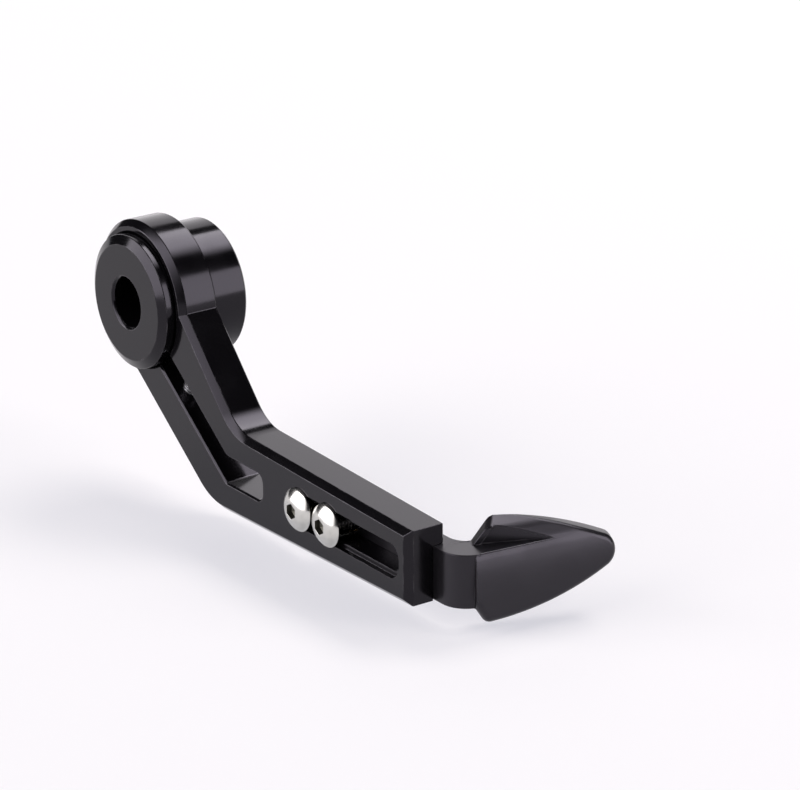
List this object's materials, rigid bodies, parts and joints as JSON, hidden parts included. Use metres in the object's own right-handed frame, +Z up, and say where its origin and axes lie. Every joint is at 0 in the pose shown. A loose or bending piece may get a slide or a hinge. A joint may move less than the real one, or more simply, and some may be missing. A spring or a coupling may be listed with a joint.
{
  "type": "brake lever guard",
  "caption": "Motorcycle brake lever guard: turned bar-end body, cranked plate arm with a split clamp ring and an adjusting slot, and a sliding leaf-shaped moulded tip.",
  "frame": {"origin": "on the bar-end body's axis, in its rear face, which seats on the handlebar end", "axes": "+Y along the body's axis, into the handlebar; +X along the lower arm, towards the tip; +Z up, from the lower arm towards the clamp ring"},
  "size_m": [0.1313, 0.0468, 0.0576],
  "materials": {
    "anodised_aluminium": "black anodised, smooth satin",
    "bolt_steel": "zinc plated",
    "moulded_polyamide": "black, satin moulded",
    "stainless_steel": "bright stainless",
    "insert_brass": "turned"
  },
  "bodies": {
    "bar_end": {"bar_end_body": "anodised_aluminium"},
    "arm": {"arm": "anodised_aluminium", "pinch_bolt": "bolt_steel"},
    "tip": {"tip": "moulded_polyamide", "tip_screws": "stainless_steel", "threaded_inserts": "insert_brass"}
  },
  "joints": [
    {"name": "arm_swivel", "type": "hinge", "parent": "bar_end", "child": "arm", "pos_m": [0, 0, 0], "axis": [0, 1, 0], "continuous": true},
    {"name": "tip_slide", "type": "slide", "parent": "arm", "child": "tip", "axis": [1, 0, 0], "range_m": [0, 0.0215]}
  ]
}
